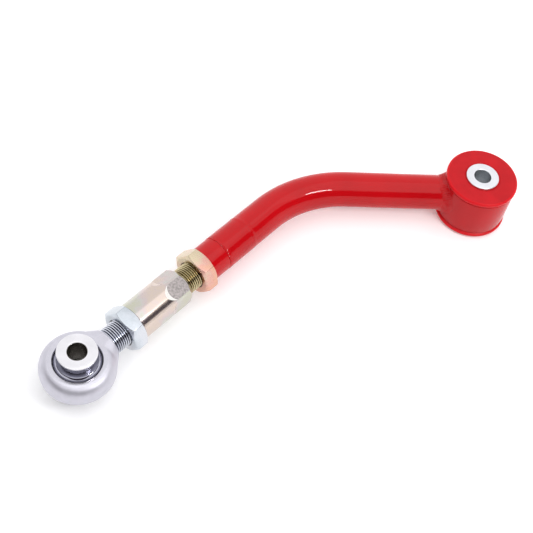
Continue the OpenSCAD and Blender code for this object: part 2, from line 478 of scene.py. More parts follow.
def polyurethane(look):
    """Satin cast polyurethane with faint turning marks, glossier along its moulded rim, where a painted
    highlight brightens its colour.
    """
    made = Finish("polyurethane", specular_ior_level=0.15)
    radius, _ = made.around(EYE_CENTRE, UP, Vector((1, 0, 0)))
    edge = girth("upper_bushing", EYE_CENTRE, UP)[1]
    # painted highlight: rim gives the rounded rim a brighter colour for the light it catches
    rim = made.steer(radius, edge - 1.6 * MM, edge - 0.7 * MM)
    flow = made.noise(0.012, 4)
    pores = made.noise(0.0007, 2)
    rings = made.grooves(radius, 0.0011, flow * 6)
    face = made.shades(made.steer(flow, 0.35, 0.68), look.bushing_colour, 0.92, 1.08)
    made.feed(base_color=made.mix(rim, face, look.rim_painted_highlight),
              roughness=made.steer(pores - rim * 0.3, 0.0, 0.75, 0.28, 0.5),
              normal=made.bump(pores + rings * 0.12, 0.00003, 0.35))
    return made.material


def turned_metal(name, node, point, tint, hole_painted_light_and_shade, roughness):
    """Bright steel with a lathe's fine rings around an upright axis, and another colour in its hole: painted
    light in the sleeve's bore, painted shade in the spacers' bores.
    """
    made = Finish(name, metallic=1.0)
    hole = girth(node, point, UP)[0]
    radius, _ = made.around(point, UP, Vector((1, 0, 0)))
    wander = made.noise(0.004, 3)
    rings = made.grooves(radius + made.along(point, UP), 0.00042, wander * 3)
    smear = made.noise(0.009, 4)
    skin = made.shades(made.steer(smear, 0.3, 0.7), tint, 0.93, 1.04)
    # painted light and shade: outside blends from the hole's painted colour to the steel's own
    outside = made.steer(radius, hole + 0.1 * MM, hole + 0.5 * MM)
    made.feed(base_color=made.mix(outside, hole_painted_light_and_shade, skin),
              roughness=made.steer(rings + smear * 2, -0.4, 2.4, roughness * 0.85, roughness * 1.2),
              normal=made.bump(rings, 0.000012, 0.5))
    return made.material


def rolled_thread(name, root, crest, roughness):
    """A rolled thread, dull and darkened by painted shade in its grooves, and bright along its crests."""
    made = Finish(name, metallic=1.0)
    top = girth("rod_end_jam_nut", ROD_CENTRE, OUTWARD)[0]
    radius, _ = made.around(ROD_CENTRE, OUTWARD, UP)
    # painted shade: rise darkens the colour from the crests down into the grooves, where shade falls
    rise = made.steer(radius, top - 0.8 * MM, top - 0.12 * MM)
    stain = made.noise(0.003, 3)
    grain = made.noise(0.0006, 2)
    made.feed(base_color=made.mix(rise * made.steer(stain, 0.3, 0.7, 0.8, 1.0), root, crest),
              roughness=made.steer(grain, 0.3, 0.7, roughness * 0.8, roughness * 1.3),
              normal=made.bump(grain, 0.00001, 0.4))
    return made.material


def zinc(name, tones, roughness, mottle):
    """Zinc plate with a chromate film, whose tint runs through its tones around and along the part, and with
    painted shade darkening it towards the thread's bore.
    """
    made = Finish(name, metallic=1.0)
    thread = girth("rod_end_jam_nut", ROD_CENTRE, OUTWARD)[0]
    turns_per_metre = 17.5
    radius, angle = made.around(ADJUSTER_START, OUTWARD, UP)
    drift = made.noise(0.011, 3)
    fine = made.noise(0.0022, 3)
    grain = made.noise(0.0006, 2)
    wave = angle + made.along(ADJUSTER_START, OUTWARD) * (math.tau * turns_per_metre) + drift * 6.0 - 4.0
    film = wave.sine() * 0.34 + 0.5 + (fine - 0.5) * (0.45 * mottle)
    stops = [(0.12 + 0.76 * i / (len(tones) - 1), tone) for i, tone in enumerate(tones)]
    # painted shade: mouth darkens the colour towards the thread's bore and countersink, where shade falls
    mouth = made.steer(radius, thread + 0.1 * MM, thread + 0.9 * MM)
    made.feed(base_color=made.mix(mouth, BORE_PAINTED_SHADE, made.ramp(film, stops)),
              roughness=made.steer(fine + grain * 0.5, 0.4, 1.1, roughness * 0.8, roughness * 1.25),
              normal=made.bump(grain, 0.00001, 0.35))
    return made.material


def milled_flats(look):
    """The coarse floor of the marked wrench flat, with the cutter's lines across it."""
    made = Finish("milled flats", metallic=1.0)
    wander = made.noise(0.003, 3)
    marks = made.grooves(made.along(ADJUSTER_START, OUTWARD), 0.0009, wander * 9)
    grit = made.noise(0.0014, 3)
    made.feed(base_color=made.shades(made.steer(grit, 0.35, 0.65), look.milled_colour, 0.68, 1.25),
              roughness=made.steer(grit, 0.3, 0.7, 0.3, 0.46),
              normal=made.bump(grit + marks * 0.25, 0.00006, 0.7))
    return made.material


def bright_cut(look):
    """The ramp that the cutter's corner leaves at the end of the marked flat."""
    made = Finish("bright cut", metallic=1.0)
    streak = made.noise(0.0012, 2)
    made.feed(base_color=made.shades(streak, look.cut_colour, 0.85, 1),
              roughness=made.steer(streak, 0.3, 0.7, 0.12, 0.25))
    return made.material


def satin_forging(look):
    """Plated steel of the rod end's head: turned faces, and a satin, faintly mottled barrel."""
    made = Finish("satin forging", metallic=1.0)
    mottle = made.noise(0.006, 4)
    grain = made.noise(0.0005, 3)
    height = made.along(ROD_CENTRE, UP)
    half = reach("rod_end_body", ROD_CENTRE, UP)[1]
    face = made.steer(height * height, (half - 0.5 * MM) ** 2, (half - 0.1 * MM) ** 2)
    radius, _ = made.around(ROD_CENTRE, UP, Vector((1, 0, 0)))
    rings = made.grooves(radius, 0.0005, mottle * 2)
    made.feed(base_color=made.shades(made.steer(mottle, 0.3, 0.7), look.head_colour, 0.95, 1.04),
              roughness=made.steer(mottle * 0.2 - face, -1.0, 0.2, 0.17, 0.52),
              normal=made.bump(grain + rings * face * 0.8, 0.00001, 0.5))
    return made.material


def polished(look):
    """Polished chrome of the ball, with duller flat faces that are darkened with painted shade, as under the
    spacers.
    """
    made = Finish("polished chrome", metallic=1.0)
    smear = made.noise(0.005, 3)
    height = made.along(ROD_CENTRE, UP)
    half = reach("ball", ROD_CENTRE, UP)[1]
    # painted shade: face gives the flat faces a dark colour for the shade under the spacers
    face = made.steer(height * height, (half - 0.3 * MM) ** 2, (half - 0.05 * MM) ** 2)
    chrome = made.shades(smear, look.ball_colour, 0.97, 1)
    made.feed(base_color=made.mix(face, chrome, look.ball_face_painted_shade),
              roughness=made.steer(smear + face * 2, 0.3, 2.8, 0.03, 0.12))
    return made.material


def moulded_liner(look):
    """Dull, dark woven liner."""
    made = Finish("moulded liner", specular_ior_level=0.3)
    weave = made.noise(0.0005, 3)
    made.feed(base_color=made.shades(weave, look.liner_colour, 0.5, 1.5),
              roughness=made.steer(weave, 0.3, 0.7, 0.55, 0.75),
              normal=made.bump(weave, 0.00003, 0.5))
    return made.material


FINISHES = {
    "powder coat": powder_coat,
    "polyurethane": polyurethane,
    "turned sleeve": lambda look: turned_metal(
        "turned sleeve", "inner_sleeve", EYE_CENTRE, look.sleeve_colour, SLEEVE_HOLE_PAINTED_LIGHT, 0.26),
    "turned spacer": lambda look: turned_metal(
        "turned spacer", "upper_spacer", ROD_CENTRE, look.spacer_colour, SPACER_HOLE_PAINTED_SHADE, 0.12),
    "yellow zinc": lambda look: zinc("yellow zinc", YELLOW_TONES, 0.26, 1.0),
    "rainbow zinc": lambda look: zinc("rainbow zinc", RAINBOW_TONES, 0.17, 0.8),
    "clear zinc": lambda look: zinc("clear zinc", CLEAR_TONES, 0.2, 0.4),
    "gold thread": lambda look: rolled_thread("gold thread", GOLD_ROOT_PAINTED_SHADE, GOLD_CREST, 0.24),
    "steel thread": lambda look: rolled_thread("steel thread", STEEL_ROOT_PAINTED_SHADE, STEEL_CREST, 0.2),
    "milled flats": milled_flats,
    "bright cut": bright_cut,
    "satin forging": satin_forging,
    "polished chrome": polished,
    "moulded liner": moulded_liner,
}


def finish(name):
    """The finish of that name, made when it is first asked for."""
    return bpy.data.materials.get(name) or FINISHES[name](bpy.context.scene.arm_looks)


# ---------------------------------------------------------------- settings


def length(name, description, millimetres):
    """A length setting, given in millimetres."""
    return FloatProperty(name=name, description=description, default=millimetres * MM, unit="LENGTH",
                         precision=5)


def number(name, description, default, unit="NONE"):
    """A plain number setting."""
    return FloatProperty(name=name, description=description, default=default, unit=unit)


def angle(name, description, degrees):
    """An angle setting, given in degrees."""
    return FloatProperty(name=name, description=description, default=math.radians(degrees), subtype="ANGLE")


def colour(name, description, *default):
    """A colour setting."""
    return FloatVectorProperty(name=name, description=description, default=default, subtype="COLOR", size=3,
                               min=0, max=1)


class ArmSizes(PropertyGroup):
    """Sizes of the tube, its welds and its eye."""

    bend_radius: length("Bend radius", "Centreline radius of the tube's bend", 84)
    into_shell: length("Into the shell", "How far inside the shell's outer skin the tube starts", 3.3)
    spigot: length("Spigot", "Length of tube that the insert swells", 24.3)
    wall: length("Wall", "Thickness of the tube's wall", 2.1)
    swell: length("Swell", "How far the insert's spigot pushes the tube out", 0.14)
    swell_run: length("Swell run", "Length over which the tube swells", 0.6)
    lip: length("Lip", "Height of the crease over the spigot's end", 0.2)
    lip_width: length("Lip width", "Half the width of the crease over the spigot's end", 0.9)
    seam_width: length("Seam width", "Width of the ground weld between tube and insert", 1.6)
    seam_depth: length("Seam depth", "How far the seam's edges dip below the tube", 0.28)
    seam_crown: length("Seam crown", "How far the seam's middle stands over the tube", 0.1)
    seam_root: length("Seam root", "How deep the seam reaches into the tube", 0.9)
    bead_leg: length("Bead leg", "Reach of the eye's weld along the tube", 5.6)
    bead_rise: length("Bead rise", "Reach of the eye's weld over the shell", 3.0)
    bead_hollow: length("Bead hollow", "How far the eye's weld sags between its edges", 0.55)
    bead_root: length("Bead root", "How deep the eye's weld reaches into the tube", 0.8)
    ripple: length("Ripple", "Height of the weld ripples", 0.24)
    ripple_pitch: length("Ripple pitch", "Distance between weld ripples", 1.25)
    coat_edge: length("Coat edge", "Rounding of coated edges", 1.0)
    flange_edge: length("Flange edge", "Rounding of the bushings' flanges", 1.5)
    flange_lip: length("Flange lip", "Rounding of the flanges' edge over the shell", 0.7)
    moat_width: length("Moat width", "Width of the groove around the sleeve", 0.7)
    moat_depth: length("Moat depth", "Depth of the groove around the sleeve", 0.6)
    sleeve_edge: length("Sleeve edge", "Rounding of the sleeve's edges", 0.5)


class EndSizes(PropertyGroup):
    """Sizes of the adjuster, the nuts and the rod end."""

    pitch: length("Pitch", "Pitch of both threads", 1.5875)
    thread_depth: length("Thread depth", "Depth of both threads", 0.93)
    thread_play: length("Thread play", "Gap between a thread and its nut", 0.05)
    sink: length("Sink", "Depth of the countersinks", 0.8)
    nut_flats: length("Nut flats", "Width across the jam nuts' flats", 28.575)
    nut_edge: length("Nut edge", "Rounding of the nuts' edges", 0.45)
    nut_nose: length("Nut nose", "Rounding of the nuts' six corners", 0.54)
    nut_face: number("Nut face", "Width of the nuts' round faces as a part of their flats", 0.95)
    nut_slope: angle("Nut slope", "Slope of the nuts' chamfers", 30)
    nut_turn: angle("Nut turn", "Turn of the nuts about the adjuster's line", 50)
    lead_in: length("Lead-in", "How far the adjuster's cone reaches past its flats", 1.1)
    core: length("Core", "Radius of the hollow along the adjuster's middle", 0.3)
    wrench_flats: length("Wrench flats", "Width across the adjuster's flats", 23.8)
    wrench_length: length("Wrench length", "Length of the adjuster's flats", 16.2)
    wrench_turn: angle("Wrench turn", "Turn of the first flat about the adjuster's line", 2)
    marked_flat: angle("Marked flat", "Turn from the first flat to the one with coarse tool marks", 60)
    cutter: length("Cutter", "Radius of the cutter that ends the flats", 8)
    cutter_ramp: number("Cutter ramp", "Slope of the flats' ends", 2.5)
    tumbling: length("Tumbling", "Rounding of the flats' edges", 0.25)
    bore_depth: length("Bore depth", "Depth of the adjuster's bore", 36.5)
    stud_root: length("Stud root", "How far the stud's thread runs into the adjuster's body", 2)
    shank_root: length("Shank root", "How far the shank's thread runs into the neck", 1.5)
    face: length("Face", "Radius of the head's flat faces", 16.9)
    barrel: number("Barrel", "Squareness of the head's barrel, 2 for an ellipse", 2.2)
    mouth: length("Mouth", "Radius of the head's mouth", 15.7)
    mouth_flare: length("Mouth flare", "Width of the chamfer around the head's mouth", 0.8)
    socket_gap: length("Socket gap", "Gap between the ball and the head's socket", 0.4)
    neck_start: length("Neck start", "Distance from the ball's centre to the start of the neck", 7)
    neck_turn: length("Neck turn", "Distance from the ball's centre to where the neck leaves the head", 16.6)
    neck_wide: length("Neck wide", "Radius of the neck where it leaves the head", 18.1)
    neck_end: length("Neck end", "Radius of the neck at its end", 10.3)
    neck: length("Neck", "Distance from the ball's centre to the end of the neck", 25.5)
    forging: length("Forging", "Fineness of the head's forged surface", 0.45)
    ball_edge: length("Ball edge", "Width of the chamfers around the ball's bore", 0.35)
    seat: length("Seat", "Radius of the spacers where they meet the ball", 10.7)
    seat_gap: length("Seat gap", "Gap between a spacer and the ball", 0.03)
    spacer_edge: length("Spacer edge", "Rounding of the spacers' outer edges", 0.45)
    spacer_rim: length("Spacer rim", "Height of the straight rim at the spacers' ends", 0.8)


class Looks(PropertyGroup):
    """Colours of the finishes."""

    coat_colour: colour("Powder coat", "Colour of the powder coat", 0.49, 0.003, 0.006)
    bushing_colour: colour("Bushing", "Colour of the polyurethane", 0.5, 0.007, 0.012)
    # painted highlight: the brighter colour of the bushings' rounded rims stands in for the light they catch
    rim_painted_highlight: colour("Rim", "Colour of the bushings' moulded rims", 0.66, 0.008, 0.014)
    milled_colour: colour("Milled flats", "Colour of the wrench flats", 0.27, 0.245, 0.24)
    cut_colour: colour("Bright cut", "Colour of the marked flat's end ramp", 0.95, 0.93, 0.89)
    head_colour: colour("Head", "Colour of the rod end's head", 0.6, 0.59, 0.65)
    ball_colour: colour("Ball", "Colour of the chrome ball", 0.42, 0.42, 0.49)
    # painted shade on the ball's flat faces, under the spacers
    ball_face_painted_shade: colour("Ball's faces", "Colour of the ball's flat faces", 0.13, 0.13, 0.17)
    spacer_colour: colour("Spacers", "Colour of the spacers", 0.79, 0.78, 0.81)
    sleeve_colour: colour("Sleeve", "Colour of the eye's sleeve", 0.77, 0.77, 0.81)
    liner_colour: colour("Liner", "Colour of the moulded liner", 0.026, 0.025, 0.03)


class Studio(PropertyGroup):
    """The camera and the lights."""

    azimuth: angle("Azimuth", "Camera's turn about the upright axis", -12.23)
    elevation: angle("Elevation", "Camera's height above the horizon", 54.58)
    roll: angle("Roll", "Camera's turn about its own axis", 11.32)
    lens: number("Lens", "Focal length in millimetres", 72.9, "CAMERA")
    distance: length("Distance", "Camera's distance from its aim", 736.3)
    aim: FloatVectorProperty(name="Aim", description="Point that the camera looks at", size=3, unit="LENGTH",
                             default=(-0.1588, -0.0698, 0.0))
    surroundings: number("Surroundings", "Strength of the white surroundings", 1.15)
    overhead: number("Overhead", "Power of the overhead softbox", 2.5, "POWER")
    spark: number("Spark", "Power of the small lamp", 2.6, "POWER")
    floor_glow: number("Floor glow", "Strength of the light from the floor", 0.16)
    floor_gap: length("Floor gap", "How far the floor lies under the lowest faces", 0.05)
    wall_distance: length("Wall distance", "Distance of the dark wall from the aim", 1500)
    wall_turn: angle("Wall turn", "Azimuth of the middle of the dark wall", 0)
    wall_reach: angle("Wall reach", "Azimuth from the middle of the dark wall to either end", 100)
    wall_low: angle("Wall low", "Elevation of the wall's lower edge in its middle", 6)
    wall_end_low: angle("Wall end low", "Elevation of the wall's lower edge at its ends", 22)
    wall_high: angle("Wall high", "Elevation of the wall's upper edge", 41)
    wall_colour: colour("Wall colour", "Colour of the dark wall", 0.07, 0.06, 0.075)


# ---------------------------------------------------------------- pieces


def tube_path(sizes, step):
    """The tube's middle from the shell to the insert's seam: length left, place and turn at each step."""
    radius = sizes.bend_radius
    start = Vector((sizes.into_shell - girth("eye_shell", EYE_CENTRE, UP)[1], 0, 0))
    corner = Vector((ROD_CENTRE.x - OUTWARD.x * ROD_CENTRE.y / OUTWARD.y, 0, 0))
    tangent = radius * math.tan(BEND_ANGLE / 2)
    bend_start = corner + Vector((tangent, 0, 0))
    bend_end = corner + OUTWARD * tangent
    low, high = stations("insert_weld")
    seam = ROD_CENTRE + OUTWARD * (low + high) / 2
    first = (bend_start - start).length
    arc = radius * BEND_ANGLE
    total = first + arc + (seam - bend_end).length
    centre = bend_start + Vector((0, -radius, 0))
    count = int(total / step)
    path = []
    for i in range(count + 1):
        s = total * i / count
        turn = min(max(s - first, 0) / radius, BEND_ANGLE)
        point = centre + radius * Vector((-math.sin(turn), math.cos(turn), 0))
        if s < first:
            point = start + Vector((-s, 0, 0))
        elif s > first + arc:
            point = bend_end + OUTWARD * (s - first - arc)
        path.append((total - s, point, turn))
    return path


def tube_ring(point, turn, radius_at):
    """A ring of points around the tube's middle, as far out as radius_at says at each angle."""
    around = 96
    side = Vector((math.sin(turn), -math.cos(turn), 0))
    ring = []
    for i in range(around):
        angle = math.tau * i / around
        ring.append(point + (side * math.cos(angle) + UP * math.sin(angle)) * radius_at(angle))
    return ring


def make_tube(sizes):
    """The bent tube, swollen where the insert's spigot sits inside it."""
    outer = reach("arm_tube", EYE_CENTRE, UP)[1]
    inner = outer - sizes.wall

    def skin(left, angle):
        """The coated skin's radius, with that length of tube left before the seam."""
        past = left - sizes.spigot
        swell = sizes.swell / (1 + math.exp(past / sizes.swell_run))
        wander = noise.noise(Vector((angle * 1.3, left * 90, 2.5)))
        crease = sizes.lip * (1 + wander) * math.exp(-((past / sizes.lip_width) ** 2))
        dip = sizes.seam_depth * math.exp(-left / (0.35 * sizes.seam_width))
        return outer + swell + crease - dip

    outside = [tube_ring(point, turn, lambda angle: skin(left, angle))
               for left, point, turn in tube_path(sizes, 0.8 * MM)]
    inside = [tube_ring(point, turn, lambda angle: inner) for _, point, turn in tube_path(sizes, 6 * MM)]
    piece = swept("coated_tube", outside + inside[::-1], closed=True)
    dress(piece, "arm", "powder_coat", "powder coat", "arm_tube")


def make_seam(sizes):
    """The ground weld between the tube and the insert's collar."""
    low, high = stations("insert_weld")
    outer = reach("arm_tube", EYE_CENTRE, UP)[1]
    half = sizes.seam_width / 2
    root = outer - sizes.seam_root
    ripples = round(math.tau * outer / sizes.ripple_pitch)
    arc = 9

    def outline(angle):
        """The seam's profile at an angle."""
        ripple = 0.4 * sizes.ripple * math.sin(angle * ripples)
        blot = 0.16 * MM * noise.noise(Vector((math.cos(angle), math.sin(angle), 0)) * 2.5)
        crown = outer + sizes.seam_crown + ripple + blot
        shape = [(root, -half)]
        for k in range(arc):
            t = 2 * k / (arc - 1) - 1
            shape.append((crown - sizes.seam_depth * t * t, t * half))
        return shape + [(root, half)]

    piece = turned("insert_seam", outline, on_line((low + high) / 2), 480)
    dress(piece, "arm", "powder_coat", "powder coat", "insert_weld")


def make_bead(sizes):
    """The rippled fillet weld around the tube where it meets the eye's shell."""
    tube = reach("arm_tube", EYE_CENTRE, UP)[1]
    shell = girth("eye_shell", EYE_CENTRE, UP)[1]
    edge = reach("eye_shell", EYE_CENTRE, UP)[1] - 0.15 * MM
    around, across = 640, 14
    ripples = round(math.tau * tube / sizes.ripple_pitch)
    wide = tube + sizes.bead_rise
    inwards = Vector((MM, 0, 0))

    def on_shell(out, radius):
        """Where a line along the tube, that far from its middle, meets the shell."""
        return out * radius - Vector((math.sqrt(shell**2 - (radius * out.y) ** 2), 0, 0))

    rings = []
    for i in range(around):
        angle = math.tau * i / around
        out = Vector((0, math.cos(angle), math.sin(angle)))
        waver = noise.noise(Vector((math.cos(angle), math.sin(angle), 3)) * 1.7)
        toe = on_shell(out, tube)
        start = toe - Vector((sizes.bead_leg * (1 + 0.16 * waver), 0, 0))
        rim = on_shell(out, wide)
        rim.z = max(-edge, min(edge, rim.z))
        normal = (out * 0.8 + Vector((-0.6, 0, 0))).normalized()
        ring = []
        for k in range(across + 1):
            belly = math.sin(math.pi * k / across)
            wave = 0.5 + 0.5 * math.sin(angle * ripples - 4.0 * belly)
            lift = sizes.ripple * belly**0.6 * wave - sizes.bead_hollow * belly
            if k in (0, across):
                lift = -0.12 * MM
            ring.append(start.lerp(rim, k / across) + normal * lift)
        ring.append(rim - out * 0.2 * MM + inwards * 0.8)
        ring.append(toe - out * sizes.bead_root + inwards * 1.2)
        ring.append(start - out * sizes.bead_root)
        rings.append(ring)
    piece = swept("eye_bead", rings, closed=True)
    dress(piece, "arm", "powder_coat", "powder coat", "eye_weld")


def make_eye(sizes):
    """The eye's shell, with the soft edges of a thick coat."""
    inner, outer = girth("eye_shell", EYE_CENTRE, UP)
    low, high = reach("eye_shell", EYE_CENTRE, UP)
    soft = sizes.coat_edge
    corners = [(inner, low, 0), (outer, low, soft), (outer, high, soft), (inner, high, 0)]
    piece = lathed("coated_shell", corners, None)
    dress(piece, "arm", "powder_coat", "powder coat", "eye_shell")


def make_bushings(sizes):
    """Both flanged bushing halves, with moulded edges and a groove around the sleeve."""
    bore, flange = girth("upper_bushing", EYE_CENTRE, UP)
    seat, shell = girth("eye_shell", EYE_CENTRE, UP)
    middle, top = reach("upper_bushing", EYE_CENTRE, UP)
    shoulder = reach("eye_shell", EYE_CENTRE, UP)[1]
    moat = top - sizes.moat_depth
    corners = [(bore, middle, 0), (seat, middle, 0), (seat, shoulder, 0), (shell - MM, shoulder, 0.2 * MM),
               (flange, shoulder + MM, sizes.flange_lip), (flange, top, sizes.flange_edge),
               (bore + 2 * sizes.moat_width, top, 0.3 * MM), (bore + sizes.moat_width, moat, 0.2 * MM),
               (bore, moat, 0)]
    for name, place, node in (("upper_flange", None, "upper_bushing"),
                              ("lower_flange", FLIP, "lower_bushing")):
        piece = lathed(name, corners, place, arc=8)
        dress(piece, "arm", "bushing", "polyurethane", node)


def jam_nut(name, node, sizes):
    """A hexagon nut whose corners are chamfered by a cone at both faces."""
    low, high = stations(node)
    thick = high - low
    bore = girth(node, ROD_CENTRE, OUTWARD)[0]
    flat = sizes.nut_flats / 2
    face = flat * sizes.nut_face
    nose = sizes.nut_nose
    sixth = math.pi / 6
    nose_centre = (flat - nose) / math.cos(sixth)
    nose_start = math.atan((flat - nose) * math.tan(sixth) / flat)

    def side(angle):
        """The rounded hexagon's distance from the axis."""
        phi = abs((angle - sizes.nut_turn) % (2 * sixth) - sixth)
        if phi < nose_start:
            return flat / math.cos(phi)
        delta = sixth - phi
        return nose_centre * math.cos(delta) + math.sqrt(nose**2 - (nose_centre * math.sin(delta)) ** 2)

    def outline(angle):
        """The nut's profile at an angle."""
        wide = side(angle)
        drop = (wide - face) * math.tan(sizes.nut_slope)
        half = [(bore, sizes.sink, 0), (bore + sizes.sink, 0, 0.15 * MM), (face, 0, sizes.nut_edge),
                (wide, drop, 0.6 * sizes.nut_edge)]
        corners = [(r, z - thick, rounding) for r, z, rounding in half]
        corners += [(r, -z, rounding) for r, z, rounding in reversed(half)]
        return rounded(corners, 3)

    return turned(name, outline, on_line(high), 360)


def make_nuts(sizes):
    """The yellow jam nut against the tube and the clear one against the adjuster."""
    for name, node, slot, finish_name in (("stud_nut", "tube_jam_nut", "yellow_zinc", "yellow zinc"),
                                          ("shank_nut", "rod_end_jam_nut", "clear_zinc", "clear zinc")):
        dress(jam_nut(name, node, sizes), node, slot, finish_name, node)


def wrench_cutters(sizes, body):
    """The six blocks that mill the wrench flats, each with a round end that ramps up to the body's skin."""
    flat = sizes.wrench_flats / 2
    over = body + MM
    ramp = (over - flat) * sizes.cutter_ramp
    middle = sizes.wrench_length - sizes.cutter
    steps = 24
    outlines = []
    for radius in (sizes.cutter, sizes.cutter + ramp):
        outline = [(-2 * body, -MM), (2 * body, -MM), (2 * body, middle)]
        for k in range(steps + 1):
            angle = math.pi * k / steps
            outline.append((radius * math.cos(angle), middle + radius * math.sin(angle)))
        outlines.append(outline + [(-2 * body, middle)])
    stand = Matrix(((0, 0, 1, 0), (1, 0, 0, 0), (0, 1, 0, 0), (0, 0, 0, 1)))
    cutters = []
    for i in range(6):
        face = Matrix.Rotation(sizes.wrench_turn + i * math.pi / 3, 4, "Z")
        cutters.append(prism(f"flat{i}", outlines[0], outlines[1], flat, over, face @ stand))
    return cutters


def mark_flat(piece, sizes):
    """Gives the marked wrench flats their tool marks, and their end ramps a bright cut."""
    piece.data.materials.append(finish("milled flats"))
    piece.data.materials.append(finish("bright cut"))
    turn = sizes.wrench_turn + sizes.marked_flat
    marked = Vector((math.cos(turn), math.sin(turn), 0))
    flat = sizes.wrench_flats / 2
    for face in piece.data.polygons:
        if abs(face.normal.dot(marked)) > 0.999 and abs(face.center.dot(marked)) < flat + 0.02 * MM:
            face.material_index = 1
        elif face.normal.z < -0.15 and face.normal.dot(marked) > 0.8 and face.center.dot(marked) > flat:
            face.material_index = 2


def make_adjuster(sizes):
    """The adjuster's body with its milled wrench flats, and its threaded stud."""
    start = (ADJUSTER_START - ROD_CENTRE).dot(OUTWARD)
    inner_end, end = stations("adjuster")
    long = end - start
    body = girth("adjuster", ROD_CENTRE, OUTWARD)[1]
    bore = girth("rod_end_jam_nut", ROD_CENTRE, OUTWARD)[0]
    lead = body - sizes.wrench_flats / 2 + sizes.lead_in
    floor = long - sizes.bore_depth
    corners = [(sizes.core, 0, 0), (body - lead, 0, 0.4 * MM), (body, lead, 0.8 * MM), (body, long, 0.7 * MM),
               (bore + sizes.sink, long, 0.2 * MM), (bore, long - sizes.sink, 0), (bore, floor, 0),
               (sizes.core, floor, 0)]
    piece = lathed("adjuster_body", corners, None, 180)
    cut(piece, wrench_cutters(sizes, body))
    tidy(piece)
    soften_edges(piece, sizes.tumbling, math.radians(17))
    dress(piece, "adjuster", "rainbow_zinc", "rainbow zinc", "adjuster")
    mark_flat(piece, sizes)
    piece.data.transform(on_line(start))
    stud_length = start - inner_end + sizes.stud_root
    stud = threaded("adjuster_stud", stud_length, bore - sizes.thread_play, sizes, on_line(inner_end))
    dress(stud, "adjuster", "rainbow_zinc", "gold thread", "adjuster")


def forged_head(sizes, half):
    """The head's barrel grown together with its neck, as one smooth forging around the ball's centre."""
    radius = reach("rod_end_body", ROD_CENTRE, OUTWARD)[1]
    oval = squared_oval(radius - sizes.face, half, sizes.barrel)
    side = [(sizes.face + wide, z) for wide, z in oval if wide > 0.01 * MM]
    side.sort(key=lambda place: place[1])
    outline = [(0, -half), (sizes.face, -half)] + side + [(sizes.face, half), (0, half)]
    piece = solid_lathed("rod_end_head", outline, None, 192)
    rings = []
    for distance, wide in ((sizes.neck_start, sizes.neck_wide), (sizes.neck_turn, sizes.neck_wide),
                           (sizes.neck, sizes.neck_end)):
        rings.append([Vector((distance, y, z)) for y, z in squared_oval(wide, half, sizes.barrel)])
    cut(piece, [swept("neck", rings)], "UNION")
    remesh = piece.modifiers.new("forge", "REMESH")
    remesh.mode = "VOXEL"
    remesh.voxel_size = sizes.forging
    smooth = piece.modifiers.new("smooth", "SMOOTH")
    smooth.factor = 0.5
    smooth.iterations = 9
    set_modifiers(piece)
    return piece


def socket_cutter(sizes, half):
    """What the head's socket and its flared mouths take away."""
    socket = girth("ball", ROD_CENTRE, UP)[1] + sizes.socket_gap
    steps = 48
    angles = [math.pi * (k / steps - 0.5) for k in range(steps + 1)]
    sphere = [(socket * math.cos(angle), socket * math.sin(angle)) for angle in angles]
    inside = [(r, z) for r, z in sphere if r > sizes.mouth]
    over = half + MM
    flare = sizes.mouth + sizes.mouth_flare
    outline = [(0, -over), (flare, -over), (sizes.mouth, -half + MM)] + inside
    outline += [(sizes.mouth, half - MM), (flare, over), (0, over)]
    return solid_lathed("socket", outline, None, 192)


def make_rod_end(sizes):
    """The rod end's head with its neck, and its threaded shank."""
    half = reach("rod_end_body", ROD_CENTRE, UP)[1]
    piece = forged_head(sizes, half)
    cut(piece, [socket_cutter(sizes, half)])
    tidy(piece)
    piece.data.transform(at_rod_end())
    dress(piece, "rod_end", "rod_end_steel", "satin forging", "rod_end_body")
    thread = girth("rod_end_jam_nut", ROD_CENTRE, OUTWARD)[0] - sizes.thread_play
    start = stations("rod_end_body")[0]
    shank_length = -start - sizes.neck + sizes.shank_root
    shank = threaded("rod_end_shank", shank_length, thread, sizes, on_line(start), hand=-1)
    dress(shank, "rod_end", "rod_end_steel", "steel thread", "rod_end_body")


def make_ball(sizes):
    """The polished ball."""
    bore, ball = girth("ball", ROD_CENTRE, UP)
    half = reach("ball", ROD_CENTRE, UP)[1]
    rim = math.sqrt(ball**2 - half**2)
    soft = sizes.ball_edge
    limit = math.asin((half - soft) / ball)
    steps = 64
    outline = [(bore, -half + soft), (bore + soft, -half), (rim - soft, -half)]
    for k in range(steps + 1):
        angle = limit * (2 * k / steps - 1)
        outline.append((ball * math.cos(angle), ball * math.sin(angle)))
    outline += [(rim - soft, half), (bore + soft, half), (bore, half - soft)]
    piece = turned("polished_ball", lambda angle: outline, at_rod_end())
    dress(piece, "ball", "ball_chrome", "polished chrome", "ball")


def make_spacers(sizes):
    """Both conical spacers, turned with fine edges."""
    hole, face = girth("upper_spacer", ROD_CENTRE, UP)
    low, top = reach("upper_spacer", ROD_CENTRE, UP)
    nose = girth("ball", ROD_CENTRE, UP)[0] - sizes.thread_play
    seat = reach("ball", ROD_CENTRE, UP)[1] + sizes.seat_gap
    soft = sizes.spacer_edge
    corners = [(hole, low, 0), (nose, low, 0.4 * MM), (nose, seat, 0), (sizes.seat, seat, 0.12 * MM),
               (face, top - sizes.spacer_rim, 0.2 * MM), (face, top, soft), (hole, top, soft)]
    for name, turn, node in (("top_spacer", Matrix(), "upper_spacer"),
                             ("bottom_spacer", FLIP, "lower_spacer")):
        piece = lathed(name, corners, at_rod_end() @ turn)
        dress(piece, "spacers", "spacer_steel", "turned spacer", node)


